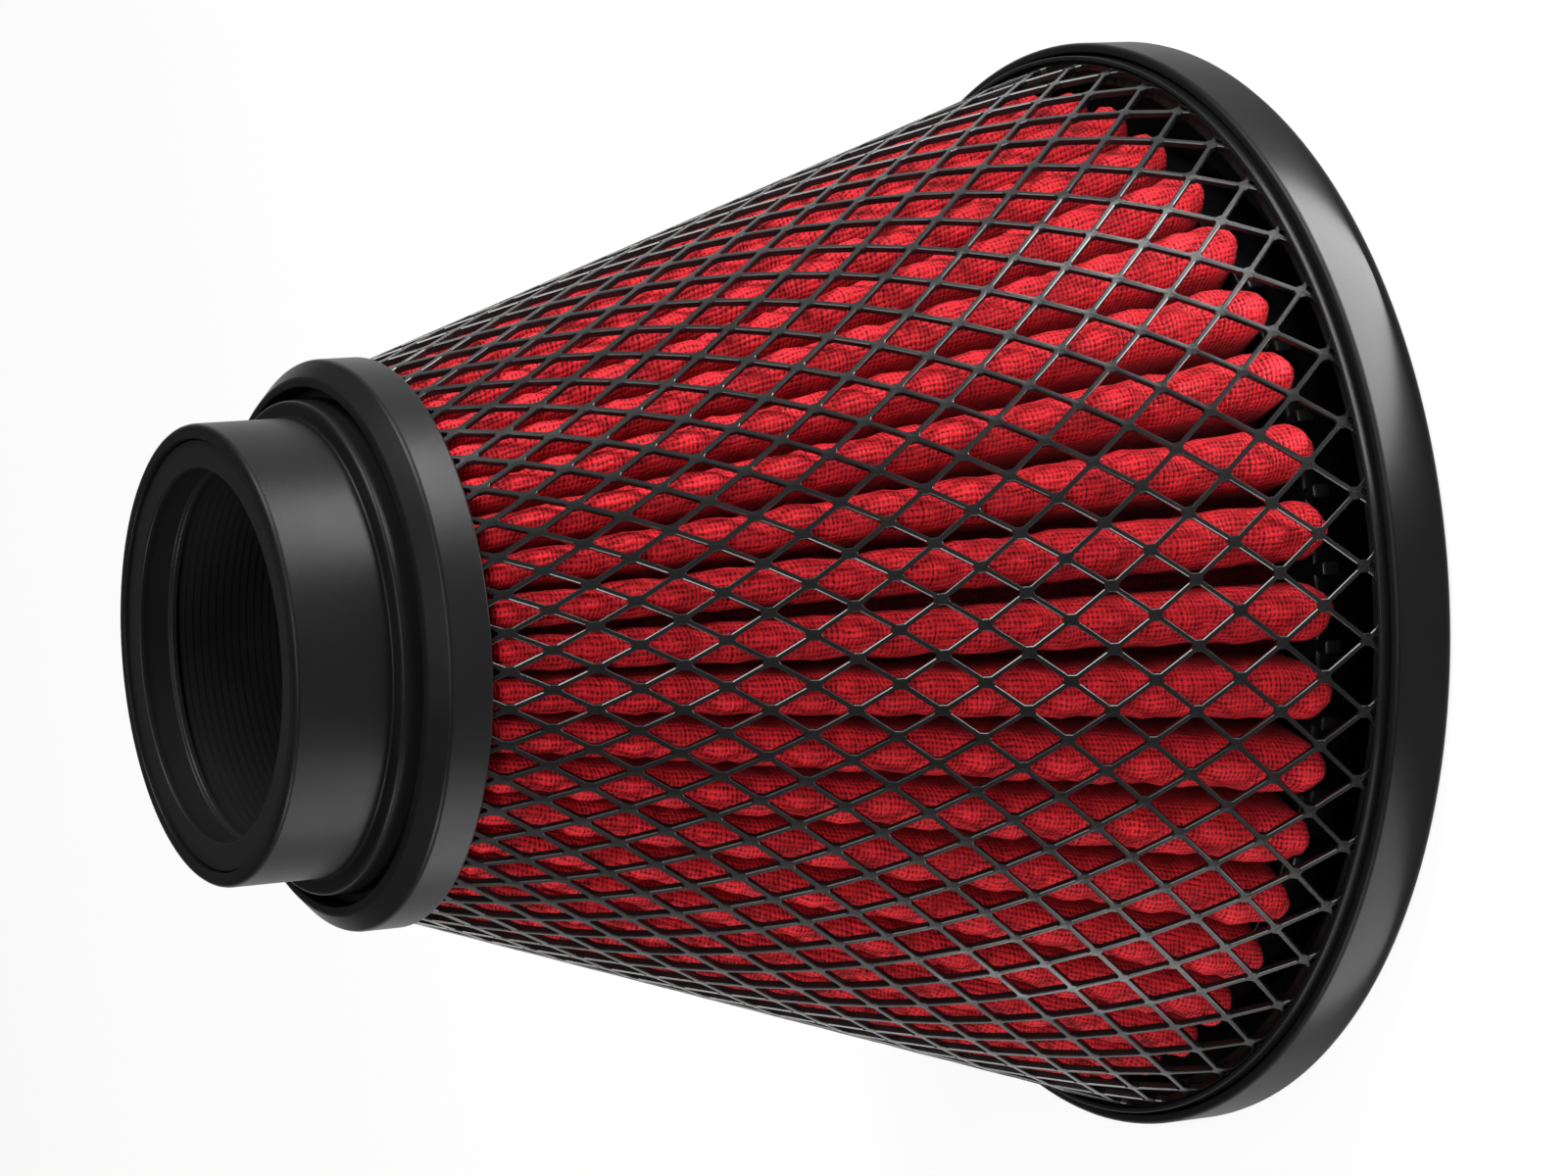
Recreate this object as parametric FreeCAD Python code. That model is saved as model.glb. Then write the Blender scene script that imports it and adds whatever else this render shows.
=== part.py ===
import FreeCAD, Part
import math
import os

# Conical engine air filter, standing on its closed end cap with the neck up.
# Millimetres, +Z along the filter's axis, origin in the middle of the cap's underside.

# End cap: a closed moulded cup that carries everything
cap_radius = 94.0
cap_band_height = 11.2
cap_wall = 1.7
cap_floor = 3.0

# Retaining ring: a bead inside the cap's band that holds the foot of the mesh
ring_groove = 0.5
ring_rise = 1.6
ring_ledge_width = 4.1
ring_ledge_depth = 1.6
ring_lip = 1.6

# Cap seal: bed of potting that fills the cap under the pleats, with one peg below each pleat's end
seal_height = 13.0
peg_width = 2.4
peg_height = 3.5
peg_reach = 2.4
peg_inset = 2.0

# Mesh: crossed strands of coated steel, wound both ways round the cone
mesh_head_radius = 44.7
mesh_count = 48
mesh_row = 6.5
mesh_first_node = 13.6
strand_width = 1.3
strand_thickness = 0.6
strand_spans = 6
mesh_clearance = 0.2

# Pleated media: one folded ring of cotton gauze
pleat_count = 40
pleat_mesh_gap = 2.0
pleat_depth = 19.0
valley_gap = 4.4
media_thickness = 1.2
crest_facets = 4
pleat_end_round = 3.0
pleat_end_hem = 1.5

# Collar: band that clasps the head of the mesh against the neck
collar_back = 147.0
collar_radius = 46.4
collar_band = 7.2
collar_bevel = 3.0
collar_grip = 3.5
collar_clearance = 0.1

# Neck: rubber sleeve with a stepped root, and the liner pressed inside it
neck_bottom = 146.0
neck_top = 176.5
neck_radius = 37.2
neck_wall = 2.4
root_radius = 41.9
root_height = 8.0
step_radius = 40.0
step_top = 159.8
liner_clearance = 0.1
liner_recess = 0.8
liner_wall = 4.7
bore_length = 16.0
relief_depth = 1.5

# Places worked out from the sizes above
ring_outer = cap_radius - cap_wall - ring_groove
ring_top = cap_band_height + ring_rise
ledge = ring_top - ring_ledge_depth
mesh_foot_radius = ring_outer - ring_lip
media_bottom = cap_floor + seal_height
media_top = neck_bottom
liner_outer = neck_radius - neck_wall - liner_clearance
bore_radius = liner_outer - liner_wall
mesh_bottom = ledge + mesh_clearance
mesh_top = collar_back + collar_grip - mesh_clearance
mesh_slope = (mesh_foot_radius - mesh_head_radius) / (collar_back - ring_top)
axis = FreeCAD.Vector(0, 0, 1)
origin = FreeCAD.Vector(0, 0, 0)
flatness = 1e-6


def polar(radius, degrees, height, sideways=0.0):
    """Point at a radius and an angle, moved sideways along the tangent."""
    turn = math.radians(degrees)
    across = radius * math.cos(turn) - sideways * math.sin(turn)
    along = radius * math.sin(turn) + sideways * math.cos(turn)
    return FreeCAD.Vector(across, along, height)


def turned(profile):
    """Solid of revolution from the corners of a half section, each a radius and a height."""
    corners = [FreeCAD.Vector(radius, 0, height) for radius, height in profile]
    section = Part.Face(Part.makePolygon(corners + corners[:1]))
    return section.revolve(origin, axis, 360)


def flat_sided(sections):
    """Solid with flat sides between like polygons, a twisted side being two triangles."""
    sides = []
    for lower, upper in zip(sections, sections[1:]):
        for corner in range(len(lower)):
            quad = [lower[corner - 1], lower[corner], upper[corner], upper[corner - 1]]
            normal = (quad[1] - quad[0]).cross(quad[2] - quad[0]).normalize()
            if abs(normal.dot(quad[3] - quad[0])) < flatness:
                sides.append(quad)
            else:
                sides.append(quad[:3])
                sides.append(quad[2:] + quad[:1])
    outlines = [sections[0], sections[-1]] + sides
    shell = Part.makeShell([Part.Face(Part.makePolygon(side + side[:1])) for side in outlines])
    shell.sewShape()
    return Part.makeSolid(shell)


def around(shape, count):
    """Copies of a shape, evenly spaced round the axis."""
    copies = []
    for number in range(count):
        copy = shape.copy()
        copy.rotate(origin, axis, number * 360 / count)
        copies.append(copy)
    return copies


def mesh_radius(height):
    """Radius of the mesh's outside at a height."""
    return mesh_foot_radius - mesh_slope * (height - ring_top)


def end_cap():
    inner = cap_radius - cap_wall
    return turned([
        (0, 0),
        (cap_radius, 0),
        (cap_radius, cap_band_height),
        (inner, cap_band_height),
        (inner, cap_floor),
        (0, cap_floor),
    ])


def cap_retaining_ring():
    seat = mesh_radius(ledge) + mesh_clearance
    return turned([
        (seat - ring_ledge_width, cap_floor),
        (ring_outer, cap_floor),
        (ring_outer, ring_top),
        (seat, ring_top),
        (seat, ledge),
        (seat - ring_ledge_width, ledge),
    ])


def cap_seal():
    peg_end = crest_radius(media_bottom) - pleat_end_round - peg_inset
    bed_outer = peg_end - peg_reach
    bed = turned([
        (0, cap_floor),
        (bed_outer, cap_floor),
        (bed_outer, media_bottom),
        (0, media_bottom),
    ])
    peg_start = bed_outer - peg_width
    peg_corner = FreeCAD.Vector(peg_start, -peg_width / 2, media_bottom - peg_height)
    peg = Part.makeBox(peg_end - peg_start, peg_width, peg_height, peg_corner)
    return bed.multiFuse(around(peg, pleat_count)).removeSplitter()


def strand(hand, depth):
    """One strand of the mesh: a flat outer face and a ridge inside, at a depth below the outside."""
    sections = []
    degrees_per_row = 180 / mesh_count
    slant_row = mesh_row * math.hypot(1, mesh_slope)
    for station in range(strand_spans + 1):
        height = mesh_bottom + (mesh_top - mesh_bottom) * station / strand_spans
        radius = mesh_radius(height) - depth
        degrees = hand * degrees_per_row * (height - mesh_first_node) / mesh_row
        lean = math.atan2(radius * math.radians(degrees_per_row), slant_row)
        half_width = strand_width / math.cos(lean) / 2
        sections.append([
            polar(radius, degrees, height, -half_width),
            polar(radius, degrees, height, half_width),
            polar(radius - strand_thickness, degrees, height),
        ])
    return flat_sided(sections)


def outer_mesh():
    outer_layer = around(strand(1, 0.0), mesh_count)
    inner_layer = around(strand(-1, strand_thickness), mesh_count)
    return Part.makeCompound(outer_layer + inner_layer)


def crest_radius(height):
    """Radius of the pleats' crests, a gap below the inside of the mesh."""
    return mesh_radius(height) - 2 * strand_thickness - pleat_mesh_gap


def fold_sizes(height):
    """Crest's centre, its round, the valley and the flanks' spread, drawn together towards the neck."""
    foot = crest_radius(media_bottom)
    drawn = crest_radius(height) / foot
    half = math.pi / pleat_count
    crest_round = (foot * half - valley_gap / 2) * drawn
    centre = foot * drawn - crest_round
    valley = (foot - pleat_depth) * drawn
    spread = (valley * math.sin(half) - crest_round) / (centre - valley * math.cos(half))
    return centre, crest_round, valley, spread


def outer_folds(height, drawn_in):
    """Outside of the folds: round crests, straight flanks that meet in the valleys."""
    centre, crest_round, valley, spread = fold_sizes(height)
    centre -= drawn_in
    crest_round += spread * drawn_in
    pleat_angle = 360 / pleat_count
    points = []
    for number in range(pleat_count):
        middle = number * pleat_angle
        points.append(polar(valley, middle - pleat_angle / 2, height))
        for facet in range(crest_facets + 1):
            turn = math.pi * (facet / crest_facets - 0.5)
            outwards = centre + crest_round * math.cos(turn)
            points.append(polar(outwards, middle, height, crest_round * math.sin(turn)))
    return points


def inner_folds(height):
    """Inside of the folds, a thickness of gauze behind the outside."""
    centre, crest_round, valley, spread = fold_sizes(height)
    fold = valley - media_thickness
    flank = crest_round - media_thickness
    foot = flank + spread * (centre - fold)
    points = []
    for number in range(pleat_count):
        middle = number * 360 / pleat_count
        points.append(polar(fold, middle, height, -foot))
        points.append(polar(centre, middle, height, -flank))
        points.append(polar(centre + flank, middle, height))
        points.append(polar(centre, middle, height, flank))
        points.append(polar(fold, middle, height, foot))
    return points


def mouth_outline(height):
    """Opening inside the folds at the cap, with one side for each pleat."""
    radius = crest_radius(media_bottom) - pleat_depth - media_thickness
    return [polar(radius, number * 360 / pleat_count, height) for number in range(pleat_count)]


def pleated_media():
    shoulder = media_bottom + pleat_end_round
    hem = media_bottom + pleat_end_hem
    outside = flat_sided([
        outer_folds(media_bottom, pleat_end_round),
        outer_folds(shoulder, 0.0),
        outer_folds(media_top, 0.0),
    ])
    inside = flat_sided([inner_folds(hem), inner_folds(media_top)])
    mouth = flat_sided([mouth_outline(media_bottom), mouth_outline(hem)])
    return outside.cut(inside).cut(mouth)


def collar():
    band_top = collar_back + collar_band
    lip_radius = collar_radius - collar_bevel
    inner = root_radius + collar_clearance
    grip_top = collar_back + collar_grip
    return turned([
        (mesh_radius(collar_back) + mesh_clearance, collar_back),
        (collar_radius, collar_back),
        (collar_radius, band_top),
        (lip_radius, band_top + collar_bevel),
        (inner, band_top + collar_bevel),
        (inner, grip_top),
        (mesh_radius(collar_back) + mesh_clearance, grip_top),
    ])


def neck_sleeve():
    inner = neck_radius - neck_wall
    root_top = neck_bottom + root_height
    return turned([
        (inner, neck_bottom),
        (root_radius, neck_bottom),
        (root_radius, root_top),
        (step_radius, root_top),
        (step_radius, step_top),
        (neck_radius, step_top),
        (neck_radius, neck_top),
        (inner, neck_top),
    ])


def neck_liner():
    top = neck_top - liner_recess
    relief = bore_radius + relief_depth
    return turned([
        (relief, neck_bottom),
        (liner_outer, neck_bottom),
        (liner_outer, top),
        (bore_radius, top),
        (bore_radius, top - bore_length),
        (relief, top - bore_length),
    ])


pieces = {
    "end_cap": end_cap,
    "cap_retaining_ring": cap_retaining_ring,
    "cap_seal": cap_seal,
    "outer_mesh": outer_mesh,
    "pleated_media": pleated_media,
    "collar": collar,
    "neck_sleeve": neck_sleeve,
    "neck_liner": neck_liner,
}

os.makedirs("parts", exist_ok=True)
for name, make in pieces.items():
    make().exportStep("parts/" + name + ".step")
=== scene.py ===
import math

import bmesh
import bpy
from mathutils import Matrix, Vector, noise


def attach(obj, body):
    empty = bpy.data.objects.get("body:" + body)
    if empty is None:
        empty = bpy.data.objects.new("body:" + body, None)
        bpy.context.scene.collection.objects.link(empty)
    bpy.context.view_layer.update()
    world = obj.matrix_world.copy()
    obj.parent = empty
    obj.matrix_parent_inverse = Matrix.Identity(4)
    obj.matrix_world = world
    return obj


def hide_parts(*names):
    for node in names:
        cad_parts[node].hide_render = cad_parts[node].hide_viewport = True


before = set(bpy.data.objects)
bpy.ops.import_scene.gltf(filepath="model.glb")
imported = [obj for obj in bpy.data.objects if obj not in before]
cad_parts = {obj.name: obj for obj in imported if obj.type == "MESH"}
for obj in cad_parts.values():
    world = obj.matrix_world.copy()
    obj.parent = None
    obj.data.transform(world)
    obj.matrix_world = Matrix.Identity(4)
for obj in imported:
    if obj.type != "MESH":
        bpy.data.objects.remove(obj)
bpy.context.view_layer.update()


# End cap: a shallow cup of black moulded rubber that closes the wide end of the filter.
# Its underside is the foot that the filter stands on, with a shallow sunk field in the middle,
# and its band is rounded at both edges where the two halves of the mould part.

MM = 0.001


def turned(corners, steps=192):
    """Half section turned about the filter's axis. A corner is a radius, a height and a rounding, in mm."""
    shape = bmesh.new()
    points = [shape.verts.new((radius * MM, 0, height * MM)) for radius, height, _ in corners]
    shape.faces.new(points)
    for rounding in sorted({corner[2] for corner in corners if corner[2]}):
        sharp = [point for point, corner in zip(points, corners) if corner[2] == rounding]
        bmesh.ops.bevel(shape, geom=sharp, affect="VERTICES", offset=rounding * MM, offset_type="OFFSET",
                        segments=4, profile=0.5, material=-1)
    bmesh.ops.delete(shape, geom=shape.faces[:], context="FACES_ONLY")
    on_axis = [edge for edge in shape.edges if all(vert.co.x < 1e-7 for vert in edge.verts)]
    bmesh.ops.delete(shape, geom=on_axis, context="EDGES")
    bmesh.ops.spin(shape, geom=shape.verts[:] + shape.edges[:], cent=(0, 0, 0), axis=(0, 0, 1),
                   angle=2 * math.pi, steps=steps, use_merge=True)
    bmesh.ops.remove_doubles(shape, verts=shape.verts[:], dist=1e-6)
    bmesh.ops.recalc_face_normals(shape, faces=shape.faces[:])
    return shape


def fitted(name, shape, material):
    """Makes a finished mesh the visible piece of the CAD node with its name."""
    data = bpy.data.meshes.new(name)
    for face in shape.faces:
        face.smooth = True
    shape.to_mesh(data)
    shape.free()
    piece = bpy.data.objects.new("visible_" + name, data)
    bpy.context.scene.collection.objects.link(piece)
    data.materials.append(material)
    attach(piece, "root")
    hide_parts(name)
    return piece


def even_shading(piece):
    """Keeps broad faces flat in shade beside their rounded edges."""
    weighted = piece.modifiers.new("even_shading", "WEIGHTED_NORMAL")
    weighted.keep_sharp = True
    weighted.weight = 100


def add(tree, kind, **values):
    """Shader node whose inputs are given by name, each a value or another node's output."""
    made = tree.nodes.new("ShaderNode" + kind)
    for name, value in values.items():
        socket = made.inputs[name.replace("_", " ")]
        if isinstance(value, bpy.types.NodeSocket):
            tree.links.new(value, socket)
        else:
            socket.default_value = value
    return made


def sums(tree, operation, first, second):
    """Output of a Math node on two numbers or outputs."""
    made = tree.nodes.new("ShaderNodeMath")
    made.operation = operation
    for socket, value in zip(made.inputs, (first, second)):
        if isinstance(value, bpy.types.NodeSocket):
            tree.links.new(value, socket)
        else:
            socket.default_value = value
    return made.outputs[0]


def between(tree, share, low, high):
    """Colour between two colours or outputs, by a share that varies over the surface."""
    made = tree.nodes.new("ShaderNodeMix")
    made.data_type = "RGBA"
    for socket, value in zip((made.inputs[0], made.inputs[6], made.inputs[7]), (share, low, high)):
        if isinstance(value, bpy.types.NodeSocket):
            tree.links.new(value, socket)
        else:
            socket.default_value = value
    return made.outputs[2]


def moulded_grain_group():
    """Fine spark-eroded grain of a mould, with the cloudy sheen that handling leaves on it."""
    group = bpy.data.node_groups.new("moulded_grain", "ShaderNodeTree")
    for name, kind in (("Vector", "NodeSocketVector"), ("Grains per metre", "NodeSocketFloat"),
                       ("Roughness", "NodeSocketFloat"), ("Spread", "NodeSocketFloat")):
        group.interface.new_socket(name=name, in_out="INPUT", socket_type=kind)
    for name in ("Tone", "Roughness", "Height"):
        group.interface.new_socket(name=name, in_out="OUTPUT", socket_type="NodeSocketFloat")
    inside = group.nodes.new("NodeGroupInput").outputs
    grain = add(group, "TexNoise", Vector=inside["Vector"], Scale=inside["Grains per metre"], Detail=2.0)
    cloud = add(group, "TexNoise", Vector=inside["Vector"], Scale=38.0, Detail=4.0, Roughness=0.6)
    speck = sums(group, "MULTIPLY", sums(group, "SUBTRACT", grain.outputs[0], 0.5), 0.5)
    patch = sums(group, "ADD", sums(group, "SUBTRACT", cloud.outputs[0], 0.5), speck)
    rough = sums(group, "ADD", inside["Roughness"], sums(group, "MULTIPLY", patch, inside["Spread"]))
    out = group.nodes.new("NodeGroupOutput").inputs
    group.links.new(cloud.outputs[0], out["Tone"])
    group.links.new(rough, out["Roughness"])
    group.links.new(grain.outputs[0], out["Height"])
    return group


moulded_grain = moulded_grain_group()


def moulded(name, dark, pale, roughness, spread, grains, relief, gloss):
    """Black moulded plastic or rubber, cloudy between two near blacks, with a mould's grain."""
    material = bpy.data.materials.new(name)
    material.use_nodes = True
    tree = material.node_tree
    shader = tree.nodes["Principled BSDF"]
    place = tree.nodes.new("ShaderNodeTexCoord")
    grain = tree.nodes.new("ShaderNodeGroup")
    grain.node_tree = moulded_grain
    tree.links.new(place.outputs["Object"], grain.inputs["Vector"])
    grain.inputs["Grains per metre"].default_value = grains
    grain.inputs["Roughness"].default_value = roughness
    grain.inputs["Spread"].default_value = spread
    bump = add(tree, "Bump", Height=grain.outputs["Height"], Strength=relief, Distance=0.0001)
    tree.links.new(between(tree, grain.outputs["Tone"], dark, pale), shader.inputs["Base Color"])
    tree.links.new(grain.outputs["Roughness"], shader.inputs["Roughness"])
    tree.links.new(bump.outputs[0], shader.inputs["Normal"])
    shader.inputs["Specular IOR Level"].default_value = gloss
    return material


cap_rubber = moulded("cap_rubber", (0.003, 0.003, 0.0032, 1), (0.006, 0.006, 0.0063, 1),
                     roughness=0.4, spread=0.16, grains=5200, relief=0.18, gloss=0.085)
end_cap = fitted("end_cap", turned([
    (0, 0.5, 0), (76, 0.5, 0.4), (77.5, 0, 0.4), (94, 0, 1.8), (94, 11.2, 1.0), (92.3, 11.2, 0.3),
    (92.3, 3, 0), (0, 3, 0),
]), cap_rubber)
even_shading(end_cap)


# Cap seal: black potting poured into the cap, which grips the foot of every pleat.
# Below the closed end of each pleat stands a short peg that kept the fold in place while it set.

seal_disc = turned([(0, 3, 0), (78.4, 3, 0), (78.4, 16, 0.6), (0, 16, 0)], steps=120)
pegs = 40
peg_outer = 80.9
peg_middle = 14.25
peg_length = 6.0
peg_width = 2.3
peg_height = 3.4
peg_round = 0.5
peg_size = Matrix.Diagonal((peg_length * MM, peg_width * MM, peg_height * MM, 1))
peg_place = Matrix.Translation(((peg_outer - peg_length / 2) * MM, 0, peg_middle * MM))
peg = bmesh.ops.create_cube(seal_disc, size=1, matrix=peg_place @ peg_size)["verts"]
peg_edges = {edge for vert in peg for edge in vert.link_edges}
seal_disc.edges.index_update()
rounded = bmesh.ops.bevel(seal_disc, geom=sorted(peg_edges, key=lambda edge: edge.index), affect="EDGES",
                          offset=peg_round * MM, offset_type="OFFSET", segments=2, profile=0.5, material=-1)
peg_faces = set(rounded["faces"])
while True:
    grown = {near for face in peg_faces for edge in face.edges for near in edge.link_faces}
    if grown == peg_faces:
        break
    peg_faces = grown
seal_disc.faces.index_update()
bmesh.ops.spin(seal_disc, geom=sorted(peg_faces, key=lambda face: face.index), cent=(0, 0, 0), axis=(0, 0, 1),
               angle=2 * math.pi * (pegs - 1) / pegs, steps=pegs - 1, use_duplicate=True)
seal_rubber = moulded("seal_rubber", (0.003, 0.003, 0.0032, 1), (0.006, 0.006, 0.0063, 1),
                      roughness=0.34, spread=0.2, grains=2600, relief=0.3, gloss=0.4)
cap_seal = fitted("cap_seal", seal_disc, seal_rubber)
even_shading(cap_seal)


# Pleated media: layers of oiled red cotton gauze, folded into forty pleats round a cone.
# The cloth swells out between the strands of the mesh, is pinched closed at the cap
# like a row of fingertips, and runs under the collar at the neck.

pleats = 40
roll_steps = 5
flank_steps = 3
valley_steps = 2
across = 2 * (roll_steps + flank_steps + valley_steps)
lengthwise = 58
tip_rows = 8
media_bottom = 16.0
media_top = 146.0
crest_gap = 3.2
fold_depth = 19.0
roll_radius = 4.55
valley_radius = 1.1
tip_length = 5.5
tip_drop = 3.5
sway = 0.006
puff_rise = 1.7
puff_least = 0.2
crease_rise = 0.8
half_pitch = math.pi / pleats
cone_foot = 12.8
cone_foot_radius = 90.2
cone_taper = 0.33905
cone_slant = 1.056
diamonds = 48
diamond_length = 13.0
first_crossing = 13.6


def cone_radius(height):
    """Radius of the mesh's outer face, which the pleats follow."""
    return cone_foot_radius - cone_taper * (height - cone_foot)


def fold_station(step):
    """Half section of one pleat at full size: sideways, depth, outward slope and length from the crest."""
    flank_x = (cone_radius(media_bottom) - crest_gap - fold_depth) * half_pitch - valley_radius
    if step <= roll_steps:
        slope = step / roll_steps * math.pi / 2
        return roll_radius * math.sin(slope), roll_radius * (1 - math.cos(slope)), slope, roll_radius * slope
    flank = fold_depth - valley_radius - roll_radius
    if step <= roll_steps + flank_steps:
        share = (step - roll_steps) / flank_steps
        return (roll_radius + (flank_x - roll_radius) * share, roll_radius + flank * share, math.pi / 2,
                roll_radius * math.pi / 2 + flank * share)
    slope = (step - roll_steps - flank_steps) / valley_steps * math.pi / 2
    return (flank_x + valley_radius * (1 - math.cos(slope)), fold_depth - valley_radius * (1 - math.sin(slope)),
            math.pi / 2, roll_radius * math.pi / 2 + flank + valley_radius * slope)


def swell(turn, height):
    """How far the cloth stands out between the strands, from 0 under one to 1 amid an opening."""
    one = turn / math.radians(360 / diamonds) - (height - first_crossing) / diamond_length
    other = turn / math.radians(360 / diamonds) + (height - first_crossing) / diamond_length
    return abs(math.sin(math.pi * one) * math.sin(math.pi * other)) ** 0.6


def cloth_point(column, row):
    """Place of one crossing of the sheet's grid, in mm, and its lengths along the fold and the pleat."""
    pleat, step = divmod(column, across)
    side = -1 if step < across // 2 else 1
    sideways, depth, slope, along = fold_station(abs(step - across // 2))
    if row <= tip_rows:
        height = media_bottom + tip_length * (row / tip_rows) ** 1.6
    else:
        body = media_top - media_bottom - tip_length
        height = media_bottom + tip_length + body * (row - tip_rows) / (lengthwise - tip_rows)
    tip = min(1, (height - media_bottom) / tip_length)
    closing = math.sqrt(max(0.0, 1 - (1 - tip) ** 2))
    crest = cone_radius(height) - crest_gap
    size = crest / (cone_radius(media_bottom) - crest_gap)
    middle = (2 * pleat + 1) * half_pitch
    lean = sway * noise.noise(Vector((pleat * 3.7, height * 0.035, 1.5)))
    facing = math.cos(slope)
    outward = size * side * sideways
    shut = closing if depth < fold_depth - valley_radius else 1
    turn = middle + lean * facing + shut * outward / (crest - size * depth)
    slant = height * 0.11 + crest * turn * 0.07
    crease = 0.6 - 1.8 * abs(noise.noise(Vector((crest * turn * 0.16, slant, 4.0))))
    crease += 0.5 * noise.noise(Vector((crest * turn * 0.5, height * 0.4, 9.0)))
    puff = puff_rise * swell(turn, height) + puff_least
    lift = (puff * facing ** 0.7 + crease_rise * crease * (0.35 + 0.65 * facing)) * closing
    if depth >= fold_depth - valley_radius:
        lift = 0
    radius = crest - size * depth + lift * facing - tip_drop * (1 - closing) * (1 - depth / fold_depth)
    turn += side * lift * math.sin(slope) * 0.7 / radius
    place = Vector((radius * math.cos(turn), radius * math.sin(turn), height)) * MM
    return place, (side * along * size, height * cone_slant)


sheet = bmesh.new()
bmesh.ops.create_grid(sheet, x_segments=pleats * across, y_segments=lengthwise, size=0.5)
in_cloth = sheet.loops.layers.uv.new("cloth")
columns = {vert: round((vert.co.x + 0.5) * pleats * across) for vert in sheet.verts}
rows = {vert: round((vert.co.y + 0.5) * lengthwise) for vert in sheet.verts}
lengths = {}
for vert in sheet.verts:
    vert.co, lengths[vert] = cloth_point(columns[vert], rows[vert])
for face in sheet.faces:
    last = max(columns[vert] for vert in face.verts)
    for loop in face.loops:
        fold, along = lengths[loop.vert]
        closes_pleat = columns[loop.vert] == last and last % across == 0
        loop[in_cloth].uv = (-fold if closes_pleat else fold, along)
bmesh.ops.remove_doubles(sheet, verts=sheet.verts[:], dist=1e-6)
bmesh.ops.recalc_face_normals(sheet, faces=sheet.faces[:])

cotton_gauze = bpy.data.materials.new("cotton_gauze")
cotton_gauze.use_nodes = True
tree = cotton_gauze.node_tree
shader = tree.nodes["Principled BSDF"]
cloth = tree.nodes.new("ShaderNodeUVMap")
cloth.uv_map = "cloth"
threads = []
for direction in ("X", "Y"):
    thread = add(tree, "TexWave", Vector=cloth.outputs[0], Scale=0.42, Distortion=3.4, Detail=2.0,
                 Detail_Scale=0.6)
    thread.bands_direction = direction
    threads.append(thread.outputs["Fac"])
weave = sums(tree, "MULTIPLY", sums(tree, "ADD", threads[0], threads[1]), 0.5)
lines = []
for stretch in ((3.0, 0.35, 1), (0.3, 2.6, 1)):
    along = add(tree, "Mapping", Vector=cloth.outputs[0], Scale=stretch)
    slub = add(tree, "TexNoise", Vector=along.outputs[0], Scale=1.0, Detail=3.0, Roughness=0.7)
    lines.append(slub.outputs[0])
slubs = sums(tree, "MINIMUM", lines[0], lines[1])
mottle = add(tree, "TexNoise", Vector=cloth.outputs[0], Scale=0.16, Detail=4.0)
lit = add(tree, "MapRange", Value=sums(tree, "ADD", sums(tree, "MULTIPLY", weave, 0.36), slubs),
          From_Min=0.46, From_Max=0.71)
tint = between(tree, mottle.outputs[0], (0.20, 0.003, 0.006, 1), (0.74, 0.016, 0.027, 1))
woven = between(tree, lit.outputs[0], (0.05, 0.001, 0.002, 1), tint)
# Painted shade: the flanks get darker the farther they lie from the crest, standing in for the shade deep
# inside each fold.
from_crest = sums(tree, "ABSOLUTE", add(tree, "SeparateXYZ", Vector=cloth.outputs[0]).outputs["X"], 0.0)
painted_fold_shade = add(tree, "MapRange", Value=from_crest, From_Min=4.0, From_Max=13.0, To_Max=0.85)
fold_with_painted_shade = between(tree, painted_fold_shade.outputs[0], woven, (0.03, 0.001, 0.002, 1))
tree.links.new(fold_with_painted_shade, shader.inputs["Base Color"])
height = sums(tree, "ADD", sums(tree, "MULTIPLY", weave, 0.5), slubs)
bump = add(tree, "Bump", Height=height, Strength=0.7, Distance=0.0007)
tree.links.new(bump.outputs[0], shader.inputs["Normal"])
rough = add(tree, "MapRange", Value=slubs, From_Min=0.35, From_Max=0.5, To_Min=0.75, To_Max=0.5)
tree.links.new(rough.outputs[0], shader.inputs["Roughness"])
shader.inputs["Specular IOR Level"].default_value = 0.1
shader.inputs["Sheen Weight"].default_value = 0.08
shader.inputs["Sheen Roughness"].default_value = 0.4
shader.inputs["Sheen Tint"].default_value = (1.0, 0.25, 0.25, 1)
pleated_media = fitted("pleated_media", sheet, cotton_gauze)
gauze_thickness = 0.8
wall = pleated_media.modifiers.new("gauze_layers", "SOLIDIFY")
wall.thickness = gauze_thickness * MM
wall.offset = -1


# Mesh: one sheet of black coated steel, slit and stretched into diamonds, then rolled to a cone.
# Its strands lie flat, are a little wider where they part, and have soft edges from the coating.
# The foot stands in the retaining ring and the head is clasped by the collar.

mesh_rows = 12
mesh_foot = 11.4
mesh_head = 148.2
strand = 0.8
strand_thickness = 1.2
opening_round = 0.75
coat_bevel = 0.14

lattice = bmesh.new()
bmesh.ops.create_grid(lattice, x_segments=diamonds, y_segments=mesh_rows, size=0.5)
for vert in lattice.verts:
    height = first_crossing - diamond_length + (vert.co.y + 0.5) * mesh_rows * diamond_length
    vert.co = Vector((vert.co.x * 2 * math.pi, height, 0))
bmesh.ops.poke(lattice, faces=lattice.faces[:])
upright = []
for edge in lattice.edges:
    span = edge.verts[0].co - edge.verts[1].co
    if len(edge.link_faces) == 2 and min(abs(span.x), abs(span.y)) < 1e-4:
        upright.append(edge)
bmesh.ops.dissolve_edges(lattice, edges=upright, use_verts=False)
for cut, keep in ((mesh_foot, -1), (mesh_head, 1)):
    bmesh.ops.bisect_plane(lattice, geom=lattice.verts[:] + lattice.edges[:] + lattice.faces[:], dist=1e-6,
                           plane_co=(0, cut, 0), plane_no=(0, keep, 0), clear_outer=True)
for vert in lattice.verts:
    radius = cone_radius(vert.co.y) - strand_thickness
    vert.co = Vector((radius * math.cos(vert.co.x), radius * math.sin(vert.co.x), vert.co.y)) * MM
bmesh.ops.remove_doubles(lattice, verts=lattice.verts[:], dist=1e-6)
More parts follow.
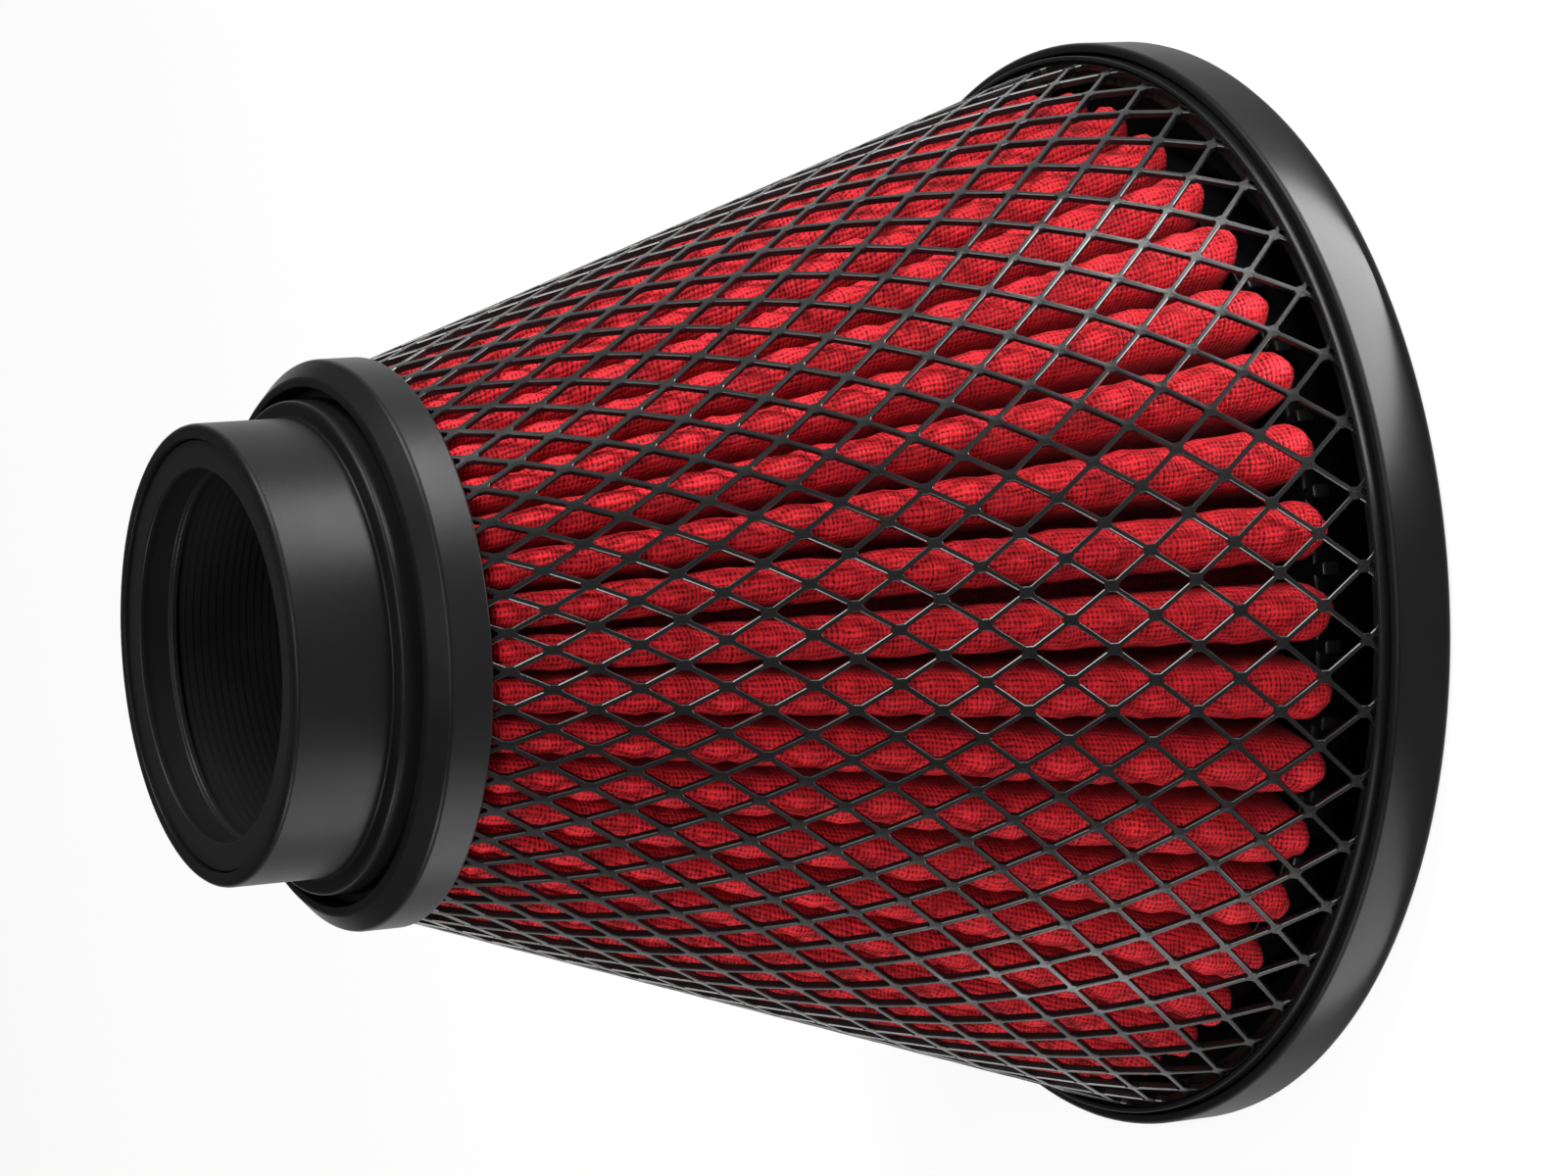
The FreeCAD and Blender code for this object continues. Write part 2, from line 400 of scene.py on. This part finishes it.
bmesh.ops.recalc_face_normals(lattice, faces=lattice.faces[:])
is_opening = lattice.faces.layers.int.new("is_opening")
openings = lattice.faces[:]
bmesh.ops.inset_individual(lattice, faces=openings, thickness=strand / 2 * MM, use_even_offset=True)
for face in openings:
    face[is_opening] = 1
corners = {vert for face in openings for vert in face.verts}
tips = {pick(face.verts, key=lambda vert: vert.co.z) for face in openings for pick in (min, max)}
lattice.verts.index_update()
tip_row = sorted(tips, key=lambda vert: vert.index)
side_row = sorted(corners - tips, key=lambda vert: vert.index)
for group, segments in ((tip_row, 2), (side_row, 1)):
    bmesh.ops.bevel(lattice, geom=group, affect="VERTICES", offset=opening_round * MM, offset_type="OFFSET",
                    segments=segments, profile=0.5, material=-1)
openings = [face for face in lattice.faces if face[is_opening] and len(face.verts) > 6]
bmesh.ops.delete(lattice, geom=openings, context="FACES_ONLY")

mesh_steel = moulded("mesh_steel", (0.003, 0.003, 0.0032, 1), (0.007, 0.007, 0.0074, 1),
                     roughness=0.25, spread=0.12, grains=3800, relief=0.06, gloss=0.3)
outer_mesh = fitted("outer_mesh", lattice, mesh_steel)
outer_mesh.data.shade_flat()
sheet_steel = outer_mesh.modifiers.new("sheet_steel", "SOLIDIFY")
sheet_steel.thickness = strand_thickness * MM
sheet_steel.offset = 1
coat = outer_mesh.modifiers.new("coated_edges", "BEVEL")
coat.width = coat_bevel * MM
coat.segments = 1
coat.limit_method = "ANGLE"
coat.angle_limit = math.radians(60)
coat.use_clamp_overlap = False
coat.loop_slide = False


# Retaining ring: a hard black bead pushed into the cap over the foot of the mesh.
# A narrow groove parts it from the cap's band, and its ledge carries the cut ends of the strands.

ring_plastic = moulded("ring_plastic", (0.004, 0.004, 0.0042, 1), (0.008, 0.008, 0.0084, 1),
                       roughness=0.36, spread=0.15, grains=4600, relief=0.14, gloss=0.11)
cap_retaining_ring = fitted("cap_retaining_ring", turned([
    (86.9, 3.05, 0), (91.8, 3.05, 0), (91.8, 12.8, 0.3), (90.95, 12.8, 0.25), (90.95, 11.2, 0.1),
    (86.9, 11.2, 0.8),
]), ring_plastic)
even_shading(cap_retaining_ring)


# Neck sleeve: the rubber neck that slides on the intake pipe and takes a hose clamp.
# It is moulded with a stepped root, which the collar closes on, and a rounded lip at the mouth.

neck_rubber = moulded("neck_rubber", (0.003, 0.003, 0.0032, 1), (0.006, 0.006, 0.0063, 1),
                      roughness=0.38, spread=0.16, grains=5200, relief=0.16, gloss=0.085)
neck_sleeve = fitted("neck_sleeve", turned([
    (34.8, 146, 0), (41.9, 146, 0.4), (41.9, 154, 0.5), (40, 154, 0.4), (40, 159.8, 0.8), (37.2, 159.8, 0.5),
    (37.2, 176.5, 1.1), (34.8, 176.5, 0.35),
], steps=160), neck_rubber)
even_shading(neck_sleeve)


# Neck liner: a stiff black bush pressed into the sleeve, so that the clamp can't crush the neck.
# Its face lies just below the lip. Behind a short smooth mouth and a ridge, the bore is cut with fine rings.

ribs = 16
rib_pitch = 1.36
rib_valley = 31.5
rib_crest = 30.6
first_rib = 146.6
bore_ribs = []
for rib in range(ribs):
    bore_ribs.append((rib_valley, first_rib + rib * rib_pitch, 0))
    bore_ribs.append((rib_crest, first_rib + (rib + 0.5) * rib_pitch, 0))
liner_plastic = moulded("liner_plastic", (0.005, 0.005, 0.0053, 1), (0.009, 0.009, 0.0095, 1),
                        roughness=0.42, spread=0.15, grains=4200, relief=0.16, gloss=0.11)
neck_liner = fitted("neck_liner", turned([
    (rib_valley, 146, 0), *bore_ribs, (rib_valley, 168.6, 0), (30, 169.0, 0.2), (30, 169.9, 0.2),
    (30.5, 170.3, 0.15), (30.5, 174.0, 0), (30, 174.5, 0), (30, 175.7, 0.4), (34.7, 175.7, 0.35),
    (34.7, 146, 0),
], steps=160), liner_plastic)
even_shading(neck_liner)


# Collar: a black band closed over the head of the mesh, which holds it against the neck's root.
# Its front edge is cut back at a wide bevel that catches the light.

collar_plastic = moulded("collar_plastic", (0.003, 0.003, 0.0032, 1), (0.006, 0.006, 0.0063, 1),
                         roughness=0.36, spread=0.16, grains=5000, relief=0.14, gloss=0.085)
collar = fitted("collar", turned([
    (42, 150.5, 0), (42, 157.2, 0.3), (43.4, 157.2, 0.5), (46.4, 154.2, 0.5), (46.4, 147, 0.5),
    (44.9, 147, 0.3), (44.9, 150.5, 0),
], steps=160), collar_plastic)
even_shading(collar)


# Studio: a white floor with a faint shadow, a key lamp to one side, a weaker fill across from it and a
# wide lamp in front. Low lamps on the floor make the long highlights on the black parts.
# The camera is turned so that the filter lies on its side in the picture.

floor_shape = bmesh.new()
bmesh.ops.create_grid(floor_shape, x_segments=1, y_segments=1, size=3)
floor_data = bpy.data.meshes.new("floor")
floor_shape.to_mesh(floor_data)
floor_shape.free()
floor = bpy.data.objects.new("floor", floor_data)
bpy.context.scene.collection.objects.link(floor)
white_floor = bpy.data.materials.new("white_floor")
white_floor.use_nodes = True
tree = white_floor.node_tree
paper = tree.nodes["Principled BSDF"]
paper.inputs["Base Color"].default_value = (0.9, 0.9, 0.9, 1)
paper.inputs["Roughness"].default_value = 0.9
paper.inputs["Specular IOR Level"].default_value = 0.0
ray = tree.nodes.new("ShaderNodeLightPath")
seen = sums(tree, "MAXIMUM", ray.outputs["Is Camera Ray"], ray.outputs["Is Glossy Ray"])
seen = sums(tree, "MAXIMUM", seen, ray.outputs["Is Transmission Ray"])
glow = add(tree, "Emission", Color=(1, 1, 1, 1), Strength=1.0)
floor_glow = 0.88
shown = add(tree, "MixShader", Fac=sums(tree, "MULTIPLY", seen, floor_glow))
tree.links.new(paper.outputs[0], shown.inputs[1])
tree.links.new(glow.outputs[0], shown.inputs[2])
tree.links.new(shown.outputs[0], tree.nodes["Material Output"].inputs["Surface"])
floor_data.materials.append(white_floor)

world = bpy.data.worlds.new("studio")
world.use_nodes = True
bpy.context.scene.world = world
world.node_tree.nodes["Background"].inputs["Color"].default_value = (1, 1, 1, 1)
world.node_tree.nodes["Background"].inputs["Strength"].default_value = 0.12


def lamp(name, place, aim, width, length, power):
    """Soft oval lamp aimed at a point."""
    data = bpy.data.lights.new(name, "AREA")
    data.shape = "ELLIPSE"
    data.size = width
    data.size_y = length
    data.energy = power
    made = bpy.data.objects.new(name, data)
    made.location = place
    made.rotation_mode = "QUATERNION"
    made.rotation_quaternion = (Vector(aim) - Vector(place)).to_track_quat("-Z", "Y")
    made.visible_camera = False
    bpy.context.scene.collection.objects.link(made)


amid_filter = (0, 0, 0.08)
lamp("key", (0.72, -0.16, 0.47), amid_filter, width=0.4, length=0.4, power=10)
lamp("fill", (-0.73, -0.16, 0.44), amid_filter, width=0.3, length=0.25, power=4)
lamp("front", (0.10, -0.66, 0.82), amid_filter, width=1.0, length=0.3, power=7.5)
lamp("low_key", (0.34, -0.22, 0.004), (0.34, -0.22, 1), width=0.18, length=0.34, power=6.5)
lamp("low_fill", (-0.36, -0.10, 0.004), (-0.36, -0.10, 1), width=0.18, length=0.38, power=2)
lamp("band_key", (0.0530, -0.0918, 0.003), (0, 0, 2), width=0.085, length=0.024, power=0.16)
lamp("band_fill", (-0.0703, -0.0800, 0.003), (0, 0, 2), width=0.08, length=0.024, power=0.024)

eye = Vector((0.00368, -0.80482, 0.49633))
picture_right = Vector((-0.07752, -0.46587, -0.88145))
picture_up = Vector((0.99699, -0.03622, -0.06854))
away = picture_right.cross(picture_up)
lens = bpy.data.cameras.new("camera")
lens.lens = 123.75
lens.sensor_width = 36
camera = bpy.data.objects.new("camera", lens)
turn = Matrix((picture_right, picture_up, away)).transposed().to_4x4()
camera.matrix_world = Matrix.Translation(eye) @ turn
bpy.context.scene.collection.objects.link(camera)
bpy.context.scene.camera = camera
bpy.context.scene.view_settings.view_transform = "Standard"
